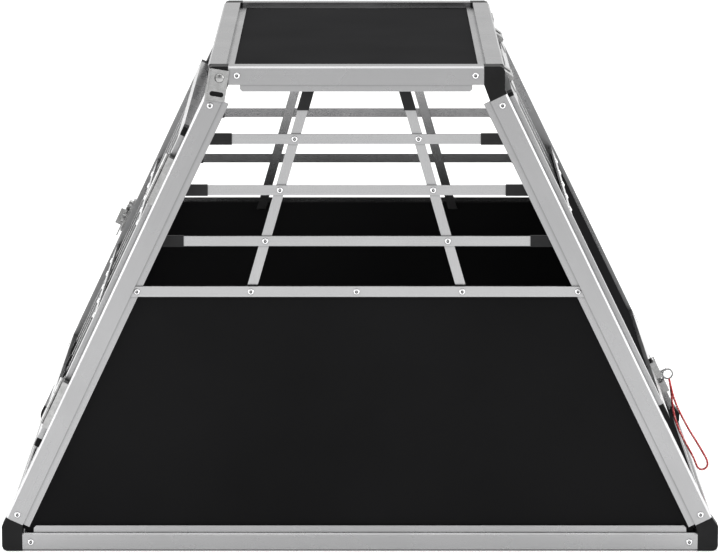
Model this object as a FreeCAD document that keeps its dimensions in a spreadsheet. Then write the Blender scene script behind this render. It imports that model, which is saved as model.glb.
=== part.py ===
"""Trapezoidal aluminium dog transport box with a leaning door and a rear emergency hatch.

Millimetres, +Z up. The origin is the centre of the base on the ground. The door is at -X,
the emergency hatch at +X, the right side at -Y and the left side at +Y.
"""
import FreeCAD, Part
import Sketcher
import math
import os

DIMENSIONS = {
    "total_height": 500.1, "base_depth": 540, "base_half": 366.5, "foot_front": 378.5,
    "foot_rear": 376.9, "lean_front": 25.3, "lean_rear": 25.9, "crown_height": 477,
    "tube": 18.6, "tube_wall": 1.4, "tube_round": 1.8, "lip_reach": 7.2, "lip_inset": 11.5,
    "lip_sheet": 1.5, "lip_setback": 5, "lip_corner": 2.5,
    "corner_side": 21, "corner_depth": 20, "post_foot": 35, "post_head": 472.5, "corner_round": 5,
    "board": 3, "floor_height": 0, "floor_sheet": 5, "board_top": 270,
    "bar_width": 10, "bar_sheet": 2, "cap_length": 18, "cap_width": 11.5, "cap_sheet": 4,
    "board_bar_height": 264.5, "board_bar_width": 10.6, "grille_first": 321, "grille_pitch": 52.2,
    "upright_lean": 16, "upright_cap": 27, "upright_spread": 107, "crown_shift": 3.5,
    "rivet_radius": 3.25, "rivet_rise": 1.6,
    "leaf_frame": 9.5, "leaf_proud": 5, "leaf_gap": 2.5,
    "door_corner": 9, "hatch_corner": 17, "hatch_top_cap": 4,
    "door_low": 115, "door_high": 480, "cross_low": 96, "cross_high": 482, "cross_sheet": 11.5,
    "kick_low": 25, "rear_board_low": 26,
    "hatch_low": 147, "hatch_high": 522, "hatch_board_high": 368, "hatch_bar_low": 366,
    "hatch_cross_low": 128, "upright_count": 5,
    "knuckle_radius": 2.6, "pin_radius": 1.3, "pin_play": 0.05, "hinge_length": 52,
    "hinge_leaf": 15, "hinge_sheet": 1.3, "knuckle_play": 0.3, "hinge_plate_inset": 3.5,
    "hinge_foot": 486, "door_hinge_low": 140, "door_hinge_high": 396, "hatch_hinge_spread": 150,
    "latch_height": 279, "latch_case": 2.5, "latch_play": 0.3, "cam_sheet": 1.5, "cam_width": 7,
    "knob_radius": 5.5, "wing_length": 18, "wing_width": 4, "wing_rise": 7, "spindle_radius": 2.5,
    "case_width": 16, "case_length": 38, "case_drop": 14, "bump_radius": 4, "bump_offset": 18,
    "cam_hub": 5, "cam_reach": 21.5, "knob_boss": 2.5,
    "catch_base": 11, "catch_wall": 4, "catch_reach": 14, "catch_height": 20, "catch_sheet": 1.6,
    "bolt_radius": 2.5, "bolt_axis": 8.3, "bolt_low": 143, "bolt_high": 168, "bolt_play": 0.3,
    "housing_width": 24, "housing_top": 11.6, "keeper_low": 130, "keeper_high": 142,
    "finger_height": 150, "finger_radius": 1.5, "finger_reach": 17,
    "ring_radius": 5.2, "ring_wire": 1, "cord_radius": 1.2, "bolt_across": -50,
    "bracket_width": 20.5, "bracket_height": 32, "bracket_sheet": 2, "bracket_flange": 8,
    "slot_length": 14, "slot_width": 5, "bolt_head": 5,
}

# The pull cord leaves the ring, hangs down the slope as an open loop and returns to the ring.
CORD_ROUTE = [
    (330.9, -51.3, 132.6), (332.7, -51.5, 124.3), (335.2, -52.0, 114.3), (339.6, -52.8, 102.3),
    (346.1, -53.4, 89.4), (353.1, -53.5, 76.5), (361.0, -53.2, 64.1), (367.4, -52.6, 53.1),
    (371.9, -52.2, 45.5), (373.8, -51.8, 39.5), (372.2, -51.0, 34.4), (367.4, -50.0, 32.1),
    (363.0, -49.1, 34.1), (361.0, -48.4, 39.0), (358.2, -47.8, 46.0), (352.6, -47.1, 56.0),
    (346.3, -46.7, 67.5), (340.8, -46.8, 79.4), (337.0, -47.4, 91.3), (334.9, -48.0, 103.3),
    (333.8, -48.4, 114.3), (332.6, -48.6, 123.8), (330.9, -48.7, 132.6),
]

doc = FreeCAD.newDocument("dog_transport_box")
sheet = doc.addObject("Spreadsheet::Sheet", "dims")
for row, (alias, number) in enumerate(DIMENSIONS.items(), 1):
    sheet.set(f"A{row}", alias)
    sheet.set(f"B{row}", str(number))
    sheet.setAlias(f"B{row}", alias)
doc.recompute()

nodes = []
Vector = FreeCAD.Vector


def dim(alias):
    """The number in one cell of the sheet."""
    return float(sheet.get(alias))


def value(text):
    """The number that a sheet expression comes to."""
    found = sheet.evalExpression(str(text))
    return float(getattr(found, "Value", found))


def node(shape_object, label):
    """Name an object as one finished piece of the box."""
    shape_object.Label = label
    nodes.append(shape_object)
    return shape_object


# ---- building blocks -------------------------------------------------------------------

def draw_outline(sketch, corners):
    """Draw a closed outline whose corners are pairs of sheet expressions."""
    spots = [Vector(value(across), value(up), 0) for across, up in corners]
    first = sketch.GeometryCount
    count = len(spots)
    for index in range(count):
        sketch.addGeometry(Part.LineSegment(spots[index], spots[(index + 1) % count]))
    for index in range(count):
        following = first + (index + 1) % count
        sketch.addConstraint(Sketcher.Constraint("Coincident", first + index, 2, following, 1))
    for index, pair in enumerate(corners):
        for kind, text in zip(("DistanceX", "DistanceY"), pair):
            rule = Sketcher.Constraint(kind, -1, 1, first + index, 1, value(text))
            number = sketch.addConstraint(rule)
            sketch.setExpression(f"Constraints[{number}]", str(text))


def prism(name, plane, outlines, length, place=None, forward=True):
    """A padded body. It grows along the plane's normal, or along -Y for the XZ plane."""
    body = doc.addObject("PartDesign::Body", name)
    sketch = body.newObject("Sketcher::SketchObject", name + "_outline")
    base = [item for item in body.Origin.OriginFeatures if item.Role == plane][0]
    sketch.AttachmentSupport = (base, "")
    sketch.MapMode = "FlatFace"
    for corners in outlines:
        draw_outline(sketch, corners)
    pad = body.newObject("PartDesign::Pad", name + "_pad")
    pad.Profile = sketch
    pad.Reversed = not forward
    pad.setExpression("Length", length)
    if place is not None:
        body.Placement = place
    return body


def eased(outline, corners):
    """An outline with the numbered square corners cut off at 45 degrees."""
    made = []
    for index, corner in enumerate(outline):
        if index not in corners:
            made.append(corner)
            continue
        for neighbour in (outline[index - 1], outline[(index + 1) % len(outline)]):
            gaps = [value(far) - value(near) for near, far in zip(corner, neighbour)]
            steps = ["" if abs(gap) < 1e-9 else f" {'+' if gap > 0 else '-'} dims.tube_round"
                     for gap in gaps]
            made.append(tuple(near + step for near, step in zip(corner, steps)))
    return made


def block(name, size, place):
    """A box whose three sizes are sheet expressions."""
    box = doc.addObject("Part::Box", name)
    for side, text in zip(("Length", "Width", "Height"), size):
        box.setExpression(side, str(text))
    box.Placement = place
    return box


def rod(name, radius, length, place):
    """A cylinder along the local Z of its placement."""
    cylinder = doc.addObject("Part::Cylinder", name)
    cylinder.setExpression("Radius", str(radius))
    cylinder.setExpression("Height", str(length))
    cylinder.Placement = place
    return cylinder


def cut(name, base, tool):
    """The base with the tool taken away."""
    result = doc.addObject("Part::Cut", name)
    result.Base = base
    result.Tool = tool
    return result


def fuse(name, pieces):
    """Several overlapping shapes joined into one solid."""
    result = doc.addObject("Part::MultiFuse", name)
    result.Shapes = pieces
    return result


def group(name, pieces):
    """Several separate solids kept as one node."""
    result = doc.addObject("Part::Compound", name)
    result.Links = pieces
    return result


def rivet_head(name, place):
    """The head of a blind rivet, a low many-sided button along its local Z."""
    head = doc.addObject("Part::Prism", name)
    head.Polygon = 16
    head.setExpression("Circumradius", "dims.rivet_radius")
    head.setExpression("Height", "dims.rivet_rise")
    head.Placement = place
    return head


def box_tube(name, size, place, along):
    """A rectangular tube with open ends: along is 0, 1 or 2 for its long side."""
    outer = block(name + "_outer", size, place)
    inner_size = [text if index == along else f"{text} - 2 * dims.tube_wall"
                  for index, text in enumerate(size)]
    wall = dim("tube_wall")
    shift = Vector(*[0 if index == along else wall for index in range(3)])
    inner_place = place.multiply(FreeCAD.Placement(shift, FreeCAD.Rotation()))
    return cut(name, outer, block(name + "_bore", inner_size, inner_place))


# ---- the two leaning faces ---------------------------------------------------------------

ENDS = {"front": -1, "rear": 1}
SIDES = {"right": -1, "left": 1}


def slope_x(end, height, depth="0"):
    """X of a leaning face at a height, a depth measured squarely in from that face."""
    lean = f"dims.lean_{end}"
    return f"{ENDS[end]} * (dims.foot_{end} - ({height}) * tan({lean}) - ({depth}) / cos({lean}))"


def slope_frame(end):
    """Local X runs across the face, local Y up it and local Z out of it."""
    lean = math.radians(dim("lean_" + end))
    sign = ENDS[end]
    across = Vector(0, sign, 0)
    upward = Vector(-sign * math.sin(lean), 0, math.cos(lean))
    outward = Vector(sign * math.cos(lean), 0, math.sin(lean))
    turn = FreeCAD.Rotation(across, upward, outward, "XYZ")
    return FreeCAD.Placement(Vector(sign * dim("foot_" + end), 0, 0), turn)


def on_slope(end, across, up, out, turn=None):
    """A placement given by its position on a leaning face."""
    local = FreeCAD.Placement(Vector(across, up, out), turn or FreeCAD.Rotation())
    return slope_frame(end).multiply(local)


def facing_out(side):
    """Turn local Z to point out of a side face."""
    return FreeCAD.Rotation(Vector(1, 0, 0), 90 if side == "right" else -90)


def side_place(side, outer, thickness):
    """Where a plate drawn in the XZ plane starts, so that it ends at the outer distance."""
    high = outer if side == "left" else thickness - outer
    return FreeCAD.Placement(Vector(0, high, 0), FreeCAD.Rotation())


def side_plate(name, side, corners, outer, thickness):
    """A flat plate of one side panel: outer is its outer face's distance from the middle."""
    place = side_place(side, value(outer), value(thickness))
    return prism(name, "XZ_Plane", [corners], thickness, place)


HALF = "dims.base_depth / 2"
LIP_BACK = "dims.lip_setback + dims.lip_sheet"


def tube_bore(left, low, right, high):
    """The hollow of a square tube."""
    wall = "dims.tube_wall"
    return [(f"{left} + {wall}", f"{low} + {wall}"), (f"{right} - {wall}", f"{low} + {wall}"),
            (f"{right} - {wall}", f"{high} - {wall}"), (f"{left} + {wall}", f"{high} - {wall}")]


# ---- frame ---------------------------------------------------------------------------------

def trim_lip(name, rail, side, start, length, root, tip):
    """Cut a rail's side lip back from both of its ends and take off its corners."""
    corner = dim("lip_corner") if tip > root else -dim("lip_corner")
    tools = []
    for hand, x in ((1, start), (-1, start + length)):
        edge = x + hand * dim("lip_inset")
        points = [(x, root), (edge, root), (edge, tip - corner),
                  (edge + hand * dim("lip_corner"), tip), (x, tip)]
        outline = [(str(across), str(up)) for across, up in points]
        tools.append(side_plate(f"{name}_trim_{hand + 1}", side, outline, HALF,
                                f"{LIP_BACK} + 2"))
    return cut(name, rail, fuse(f"{name}_trims", tools))


def base_side_rail(side):
    """A base rail along the length, with a lip up behind which the side board stands."""
    sign = SIDES[side]
    outer, inner = f"{sign} * {HALF}", f"{sign} * ({HALF} - dims.tube)"
    lip_out = f"{sign} * ({HALF} - dims.lip_setback)"
    lip_in = f"{sign} * ({HALF} - {LIP_BACK})"
    lip_top = "dims.tube + dims.lip_reach"
    outline = [(outer, "0"), (outer, "dims.tube"), (lip_out, "dims.tube"), (lip_out, lip_top),
               (lip_in, lip_top), (lip_in, "dims.tube"), (inner, "dims.tube"), (inner, "0")]
    outline = eased(outline, (0, 1))
    bore = tube_bore(f"min({outer}; {inner})", "0", f"max({outer}; {inner})", "dims.tube")
    length = "2 * (dims.base_half - dims.corner_side)"
    start = -value(length) / 2
    place = FreeCAD.Placement(Vector(start, 0, 0), FreeCAD.Rotation())
    name = f"{side}_base_rail"
    rail = prism(name + "_section", "YZ_Plane", [outline, bore], length, place)
    node(trim_lip(name, rail, side, start, value(length), dim("tube"), value(lip_top)), name)


def top_side_rail(side):
    """A top rail along the length, with one lip down the side and one under the top panel."""
    sign = SIDES[side]
    top, low = "dims.total_height", "dims.total_height - dims.tube"
    outer, inner = f"{sign} * {HALF}", f"{sign} * ({HALF} - dims.tube)"
    lip_out = f"{sign} * ({HALF} - dims.lip_setback)"
    lip_in = f"{sign} * ({HALF} - {LIP_BACK})"
    lip_end = f"{sign} * ({HALF} - dims.tube - dims.lip_reach)"
    outline = [(outer, top), (outer, low), (lip_out, low), (lip_out, f"{low} - dims.lip_reach"),
               (lip_in, f"{low} - dims.lip_reach"), (lip_in, low), (inner, low),
               (inner, f"{top} - ({LIP_BACK})"), (lip_end, f"{top} - ({LIP_BACK})"),
               (lip_end, f"{top} - dims.lip_setback"), (inner, f"{top} - dims.lip_setback"),
               (inner, top)]
    outline = eased(outline, (0,))
    bore = tube_bore(f"min({outer}; {inner})", low, f"max({outer}; {inner})", top)
    start = value(crown_x("front")) + dim("corner_side")
    length = f"({crown_x('rear')}) - ({crown_x('front')}) - 2 * dims.corner_side"
    place = FreeCAD.Placement(Vector(start, 0, 0), FreeCAD.Rotation())
    name = f"{side}_top_rail"
    rail = prism(name + "_section", "YZ_Plane", [outline, bore], length, place)
    tip = value(f"{low} - dims.lip_reach")
    node(trim_lip(name, rail, side, start, value(length), value(low), tip), name)


def crown_x(end):
    """X of the upright outer face above a leaning face."""
    return slope_x(end, "dims.crown_height")


def base_cross_rail(end):
    """A base rail across the box, with a lip that leans with the end face."""
    sign = ENDS[end]
    outer, inner = f"{sign} * dims.base_half", f"{sign} * (dims.base_half - dims.tube)"
    lip_out, lip_in = "dims.lip_setback", LIP_BACK
    lip_top = f"dims.tube + dims.lip_reach * cos(dims.lean_{end})"
    outline = [(outer, "0"), (outer, "dims.tube"),
               (slope_x(end, "dims.tube", lip_out), "dims.tube"),
               (slope_x(end, lip_top, lip_out), lip_top),
               (slope_x(end, lip_top, lip_in), lip_top),
               (slope_x(end, "dims.tube", lip_in), "dims.tube"),
               (inner, "dims.tube"), (inner, "0")]
    outline = eased(outline, (0, 1))
    bore = tube_bore(f"min({outer}; {inner})", "0", f"max({outer}; {inner})", "dims.tube")
    node(cross_prism(f"{end}_base_rail", [outline, bore]), f"{end}_base_rail")


def top_cross_rail(end):
    """A top rail across the box, with a leaning lip below and a lip under the top panel."""
    sign = ENDS[end]
    top, low = "dims.total_height", "dims.total_height - dims.tube"
    outer = crown_x(end)
    inner = f"{outer} - {sign} * dims.tube"
    lip_end = f"{inner} - {sign} * dims.lip_reach"
    lip_low = f"{low} - dims.lip_reach * cos(dims.lean_{end})"
    under = f"{top} - ({LIP_BACK})"
    over = f"{top} - dims.lip_setback"
    outline = [(outer, top), (outer, low), (slope_x(end, low, "dims.lip_setback"), low),
               (slope_x(end, lip_low, "dims.lip_setback"), lip_low),
               (slope_x(end, lip_low, LIP_BACK), lip_low), (slope_x(end, low, LIP_BACK), low),
               (inner, low), (inner, under), (lip_end, under), (lip_end, over), (inner, over),
               (inner, top)]
    outline = eased(outline, (0,))
    bore = tube_bore(f"min({outer}; {inner})", low, f"max({outer}; {inner})", top)
    rail = cross_prism(f"{end}_top_rail_section", [outline, bore])
    trims = []
    for hand in SIDES.values():
        low_y = -value(HALF) if hand < 0 else value(HALF) - 1.5 * dim("tube")
        spot = Vector(min(value(inner), value(lip_end)), low_y, value(under))
        size = ("dims.lip_reach", "dims.tube * 1.5", "dims.lip_sheet")
        trims.append(block(f"{end}_lip_trim_{hand + 1}", size,
                           FreeCAD.Placement(spot, FreeCAD.Rotation())))
    node(cut(f"{end}_top_rail", rail, fuse(f"{end}_lip_trims", trims)), f"{end}_top_rail")


def cross_prism(name, outlines):
    """An extrusion that runs across the box between its corner connectors."""
    length = "dims.base_depth - 2 * dims.corner_depth"
    place = FreeCAD.Placement(Vector(0, value(length) / 2, 0), FreeCAD.Rotation())
    return prism(name, "XZ_Plane", outlines, length, place)


def post(side, end):
    """A leaning corner post: a square tube with a lip for each of its two faces."""
    sign = SIDES[side] * ENDS[end]
    tube, back = "dims.tube", "dims.lip_setback + dims.lip_sheet"
    edge = f"{sign} * ({HALF})"
    inner = f"{sign} * ({HALF} - {tube})"
    reach = f"{sign} * ({HALF} - {tube} - dims.lip_reach)"
    lip_out, lip_in = f"{sign} * ({HALF} - dims.lip_setback)", f"{sign} * ({HALF} - ({back}))"
    outline = [(edge, "0"), (inner, "0"), (inner, "-dims.lip_setback"),
               (reach, "-dims.lip_setback"), (reach, f"-({back})"), (inner, f"-({back})"),
               (inner, f"-{tube}"), (lip_in, f"-{tube}"), (lip_in, f"-{tube} - dims.lip_reach"),
               (lip_out, f"-{tube} - dims.lip_reach"), (lip_out, f"-{tube}"), (edge, f"-{tube}")]
    outline = eased(outline, (0,))
    bore = tube_bore(f"min({edge}; {inner})", f"-{tube}", f"max({edge}; {inner})", "0")
    lean = f"dims.lean_{end}"
    length = f"(dims.post_head - dims.post_foot) / cos({lean})"
    place = on_slope(end, 0, value(f"dims.post_foot / cos({lean})"), 0)
    name = f"{side}_{end}_post"
    node(prism(name, "XZ_Plane", [outline, bore], length, place, forward=False), name)


BEND = "dims.corner_round * (1 - cos(45))"


def connector(side, end, level):
    """A moulded corner elbow between two rails and the squarely cut end of a post."""
    sign = ENDS[end]
    lean = f"dims.lean_{end}"
    if level == "base":
        outer = f"{sign} * dims.base_half"
        inner = f"{outer} - {sign} * dims.corner_side"
        cut_at = "dims.post_foot"
        outline = [(inner, "0"), (f"{outer} - {sign} * dims.corner_round", "0"),
                   (f"{outer} - {sign} * {BEND}", BEND), (outer, "dims.corner_round"),
                   (outer, "dims.tube + 7"), (slope_x(end, cut_at), cut_at)]
        shoulder = "dims.tube"
    else:
        outer = crown_x(end)
        inner = f"{outer} - {sign} * dims.corner_side"
        cut_at = "dims.post_head"
        outline = [(inner, "dims.total_height"),
                   (f"{outer} - {sign} * dims.corner_round", "dims.total_height"),
                   (f"{outer} - {sign} * {BEND}", f"dims.total_height - {BEND}"),
                   (outer, "dims.total_height - dims.corner_round"),
                   (outer, "dims.crown_height"), (slope_x(end, cut_at), cut_at)]
        shoulder = "dims.total_height - dims.tube"
    heel_x = f"{slope_x(end, cut_at)} - {sign} * dims.tube * cos({lean})"
    heel_z = f"{cut_at} - dims.tube * sin({lean})"
    outline += [(heel_x, heel_z), (inner, shoulder)]
    name = f"{side}_{end}_{level}_corner"
    return side_plate(name, side, outline, HALF, "dims.corner_depth")


def floor_and_top():
    """The floor sheet between the base rails and the top panel under its lips."""
    width = "dims.base_depth - 2 * dims.corner_depth"
    length = "2 * (dims.base_half - dims.tube)"
    place = FreeCAD.Placement(
        Vector(-value(length) / 2, -value(width) / 2, dim("floor_height")), FreeCAD.Rotation())
    node(block("floor_panel", (length, width, "dims.floor_sheet"), place), "floor_panel")
    start = value(crown_x("front")) + dim("corner_side")
    length = f"({crown_x('rear')}) - ({crown_x('front')}) - 2 * dims.corner_side"
    width = "dims.base_depth - 2 * dims.tube"
    low = value(f"dims.total_height - ({LIP_BACK}) - dims.board")
    place = FreeCAD.Placement(Vector(start, -value(width) / 2, low), FreeCAD.Rotation())
    node(block("top_panel", (length, width, "dims.board"), place), "top_panel")


# ---- side panels ---------------------------------------------------------------------------

BEHIND_LIP = f"{HALF} - dims.lip_setback - dims.lip_sheet"
CAP_START = "dims.tube + 0.3"
CAP_END = "dims.tube + dims.lip_reach + dims.cap_length"


def side_board(side):
    """The black lower board of a side panel, held behind the lips."""
    edge = "dims.tube + 0.5"
    notch = "dims.tube + 11"
    outline = [(slope_x("front", notch, edge), "dims.tube"),
               (slope_x("rear", notch, edge), "dims.tube"), (slope_x("rear", notch, edge), notch),
               (slope_x("rear", "dims.board_top", edge), "dims.board_top"),
               (slope_x("front", "dims.board_top", edge), "dims.board_top"),
               (slope_x("front", notch, edge), notch)]
    node(side_plate(f"{side}_side_board", side, outline, BEHIND_LIP, "dims.board"),
         f"{side}_side_board")


def level_strip(name, side, low, width, depth, outer, thickness):
    """A flat strip at one height between two depths measured in from the leaning faces."""
    high = f"{low} + {width}"
    outline = [(slope_x("front", low, depth), low), (slope_x("rear", low, depth), low),
               (slope_x("rear", high, depth), high), (slope_x("front", high, depth), high)]
    return side_plate(name, side, outline, outer, thickness)


def board_bar(side):
    """The flat bar along the top of a side board, riveted over the post lips."""
    bar = level_strip(f"{side}_board_bar", side, "dims.board_bar_height",
                      "dims.board_bar_width", CAP_START,
                      f"{HALF} - dims.lip_setback + dims.bar_sheet", "dims.bar_sheet")
    return bar


def grille_heights():
    """The middle heights of the three level bars."""
    return [f"dims.grille_first + {index} * dims.grille_pitch" for index in range(3)]


def grille_bars(side):
    """Three level bars and the moulded caps that hold their ends behind the post lips."""
    bars, caps = [], []
    for index, height in enumerate(grille_heights()):
        low, high = f"{height} - dims.bar_width / 2", f"{height} + dims.bar_width / 2"
        front_x, rear_x = (slope_x(end, height, CAP_END) for end in ENDS)
        outline = [(front_x, low), (rear_x, low), (rear_x, high), (front_x, high)]
        bars.append(side_plate(f"{side}_level_bar_{index}", side, outline, f"{BEHIND_LIP} - 1",
                               "dims.bar_sheet"))
        low, high = f"{height} - dims.cap_width / 2", f"{height} + dims.cap_width / 2"
        for end, cap_x in zip(ENDS, (front_x, rear_x)):
            outline = [(slope_x(end, low, CAP_START), low), (cap_x, low), (cap_x, high),
                       (slope_x(end, high, CAP_START), high)]
            caps.append(side_plate(f"{side}_{end}_cap_{index}", side, outline, BEHIND_LIP,
                                   "dims.cap_sheet"))
    return bars, caps


def upright_x(hand, height):
    """Middle of a fanned upright at a height: it leans in towards the top."""
    drop = f"({height} - dims.board_bar_height - dims.board_bar_width / 2)"
    spread = f"(dims.upright_spread - {drop} * tan(dims.upright_lean))"
    return f"{hand} * {spread} - dims.crown_shift"


def leaning_strip(name, side, hand, low, high, width, outer, thickness):
    """A strip that follows a fanned upright between two heights."""
    half = f"{width} / 2 / cos(dims.upright_lean)"
    outline = [(f"{upright_x(hand, low)} - {half}", low),
               (f"{upright_x(hand, low)} + {half}", low),
               (f"{upright_x(hand, high)} + {half}", high),
               (f"{upright_x(hand, high)} - {half}", high)]
    return side_plate(name, side, outline, outer, thickness)


def grille_uprights(side):
    """Two fanned uprights behind the level bars, with caps under the top rail."""
    top = "dims.total_height - dims.tube"
    cap_low = f"{top} - dims.upright_cap"
    strips, caps = [], []
    for hand in (-1, 1):
        strips.append(leaning_strip(f"{side}_upright_{hand + 1}", side, hand,
                                    "dims.board_bar_height - 2", cap_low, "dims.bar_width",
                                    f"{BEHIND_LIP} - 3", "dims.bar_sheet"))
        caps.append(leaning_strip(f"{side}_upright_cap_{hand + 1}", side, hand, cap_low, top,
                                  "dims.cap_width", f"{BEHIND_LIP} - 2", "dims.cap_sheet"))
    return strips, caps


def side_rivets(side):
    """Rivet heads on the outside of one side panel."""
    sign = SIDES[side]
    face = value(HALF)
    bar_face = value(f"{HALF} - dims.lip_setback + dims.bar_sheet")
    grille_face = value(f"{BEHIND_LIP} - 1")
    middle_height = dim("tube") / 2
    end_inset = dim("corner_side") + 8.5
    spots = [(x, middle_height, face) for x in
             (-dim("base_half") + end_inset, dim("base_half") - end_inset)]
    top_height = dim("total_height") - dim("tube") / 2
    spots += [(value(crown_x("front")) + end_inset, top_height, face),
              (value(crown_x("rear")) - end_inset, top_height, face)]
    for end in ENDS:
        for height in (dim("post_foot") + 3, dim("post_head") - 12):
            spots.append((value(slope_x(end, height, "dims.tube / 2")), height, face))
    bar_height = value("dims.board_bar_height + dims.board_bar_width / 2")
    for end in ENDS:
        spots.append((value(slope_x(end, bar_height, "dims.tube + 4")), bar_height, bar_face))
    spots.append((-dim("crown_shift"), bar_height, bar_face))
    for hand in (-1, 1):
        spots.append((value(upright_x(hand, bar_height)), bar_height, bar_face))
        for text in grille_heights():
            spots.append((value(upright_x(hand, text)), value(text), grille_face))
    places = [FreeCAD.Placement(Vector(x, sign * out, height), facing_out(side))
              for x, height, out in spots]
    return [rivet_head(f"{side}_rivet_{index}", place) for index, place in enumerate(places)]


def tie_down_bracket():
    """A small bent plate with a slot, bolted over the upper front corner of the right side."""
    turn = FreeCAD.Rotation(Vector(0, 1, 0), 9)
    middle = Vector(value(crown_x("front")) + 9.6, -value(HALF), 481.5)
    place = FreeCAD.Placement(middle, turn)

    def at(x, y, z, rotation=None):
        local = FreeCAD.Placement(Vector(x, y, z), rotation or FreeCAD.Rotation())
        return place.multiply(local)

    width, height, gauge = dim("bracket_width"), dim("bracket_height"), dim("bracket_sheet")
    plate = block("bracket_plate", ("dims.bracket_width", "dims.bracket_sheet",
                                    "dims.bracket_height"), at(-width / 2, -gauge, -height / 2))
    flange = block("bracket_fold", ("dims.bracket_sheet", "dims.bracket_flange",
                                    "dims.bracket_height"),
                   at(-width / 2, -dim("bracket_flange"), -height / 2))
    slot_z = -height / 2 + 7
    half = (dim("slot_length") - dim("slot_width")) / 2
    outward = FreeCAD.Rotation(Vector(1, 0, 0), 90)
    ends = [rod(f"slot_end_{index}", "dims.slot_width / 2", "4 * dims.bracket_sheet",
                at(offset + 1, gauge, slot_z, outward)) for index, offset in enumerate((-half, half))]
    waist = block("slot_waist", ("dims.slot_length - dims.slot_width", "4 * dims.bracket_sheet",
                                 "dims.slot_width"),
                  at(1 - half, -3 * gauge, slot_z - dim("slot_width") / 2))
    slot = fuse("bracket_slot", ends + [waist])
    node(cut("bracket", fuse("bracket_blank", [plate, flange]), slot), "tie_down_bracket")
    head = doc.addObject("Part::Ellipsoid", "bracket_bolt_head")
    head.setExpression("Radius1", "dims.bracket_sheet * 1.5")
    head.setExpression("Radius2", "dims.bolt_head")
    head.setExpression("Radius3", "dims.bolt_head")
    head.Angle1 = 0
    head.Angle2 = 90
    head.Placement = at(1.5, -gauge, 7.5, outward)
    node(head, "tie_down_bolt")


# ---- fixed pieces of the two ends -------------------------------------------------------------

CROSS_WIDTH = "dims.base_depth - 2 * dims.tube"


def cross_member(name, end, low):
    """A tube between the posts, behind their lips."""
    half = value(CROSS_WIDTH) / 2
    out = -value(LIP_BACK) - dim("cross_sheet")
    place = on_slope(end, -half, low, out)
    node(box_tube(name, (CROSS_WIDTH, "dims.tube", "dims.cross_sheet"), place, 0), name)


def slope_strips(name, end, positions, low, length, out):
    """Flat bars that run up a leaning face."""
    half = dim("bar_width") / 2
    return [block(f"{name}_{index}", ("dims.bar_width", length, "dims.bar_sheet"),
                  on_slope(end, across - half, low, out))
            for index, across in enumerate(positions)]


def upright_positions():
    """Even places across a leaf for its upright bars."""
    inner = value(f"{HALF} - 2 * dims.tube - dims.leaf_gap")
    count = int(dim("upright_count"))
    pitch = 2 * inner / (count + 1)
    return [-inner + pitch * (index + 1) for index in range(count)]


def front_fixed_pieces():
    """The cross members above and below the door and the short bars under it."""
    cross_member("front_lower_cross", "front", dim("cross_low"))
    cross_member("front_upper_cross", "front", dim("cross_high"))
    low = dim("kick_low")
    out = -value(LIP_BACK) - dim("bar_sheet")
    bars = slope_strips("kick_bar", "front", upright_positions(), low,
                        "dims.cross_low - dims.kick_low", out)
    node(group("front_kick_bars", bars), "front_kick_bars")


def rear_fixed_pieces():
    """The fixed lower board of the rear end and the cross member above it."""
    cross_member("rear_cross", "rear", dim("hatch_cross_low"))
    low = dim("rear_board_low")
    half = dim("base_depth") / 2 - dim("corner_depth") - 0.5
    place = on_slope("rear", -half, low, -value(LIP_BACK) - dim("board"))
    size = (str(2 * half), "dims.hatch_cross_low - dims.rear_board_low", "dims.board")
    node(block("rear_lower_board", size, place), "rear_lower_board")


# ---- leaves: the door and the hatch ---------------------------------------------------------

LEAF_WIDTH = f"{HALF} - dims.tube - dims.leaf_gap"


def leaf_frame(name, end, low, high, low_cap, high_cap):
    """Two stiles with moulded ends and two rails between them."""
    half, tube = value(LEAF_WIDTH), dim("tube")
    out = dim("leaf_proud") - dim("leaf_frame")
    span = f"2 * ({LEAF_WIDTH} - dims.tube)"
    height = f"{high} - {low} - {low_cap} - {high_cap}"
    low_at, high_at = value(low), value(high)
    rail_size = (span, "dims.tube", "dims.leaf_frame")
    rails = [box_tube(f"{name}_{label}_rail", rail_size,
                      on_slope(end, -half + tube, at, out), 0)
             for label, at in (("bottom", low_at), ("top", high_at - tube))]
    node(group(f"{name}_rails", rails), f"{name}_rails")
    stile_size = ("dims.tube", height, "dims.leaf_frame")
    stiles = [box_tube(f"{name}_stile_{index}", stile_size,
                       on_slope(end, across, low_at + value(low_cap), out), 1)
              for index, across in enumerate((-half, half - tube))]
    node(group(f"{name}_stiles", stiles), f"{name}_stiles")
    corners = [block(f"{name}_{label}_corner_{index}", ("dims.tube", cap, "dims.leaf_frame"),
                     on_slope(end, across, at, out))
               for label, cap, at in (("low", low_cap, low_at),
                                      ("high", high_cap, high_at - value(high_cap)))
               for index, across in enumerate((-half, half - tube))]
    node(group(f"{name}_corners", corners), f"{name}_corners")


def bar_caps(name, end, starts, out):
    """Moulded caps over the ends of upright bars."""
    half = dim("cap_width") / 2
    return [block(f"{name}_{index}_{row}", ("dims.cap_width", "dims.cap_length * 0.6",
                                            "dims.cap_sheet"),
                  on_slope(end, across - half, at, out))
            for row, at in enumerate(starts)
            for index, across in enumerate(upright_positions())]


def slope_rivets(name, end, spots):
    """Rivet heads at (across, up, out) places on a leaning face."""
    heads = [rivet_head(f"{name}_{index}", on_slope(end, *spot)) for index, spot in enumerate(spots)]
    node(group(name, heads), name)


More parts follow.
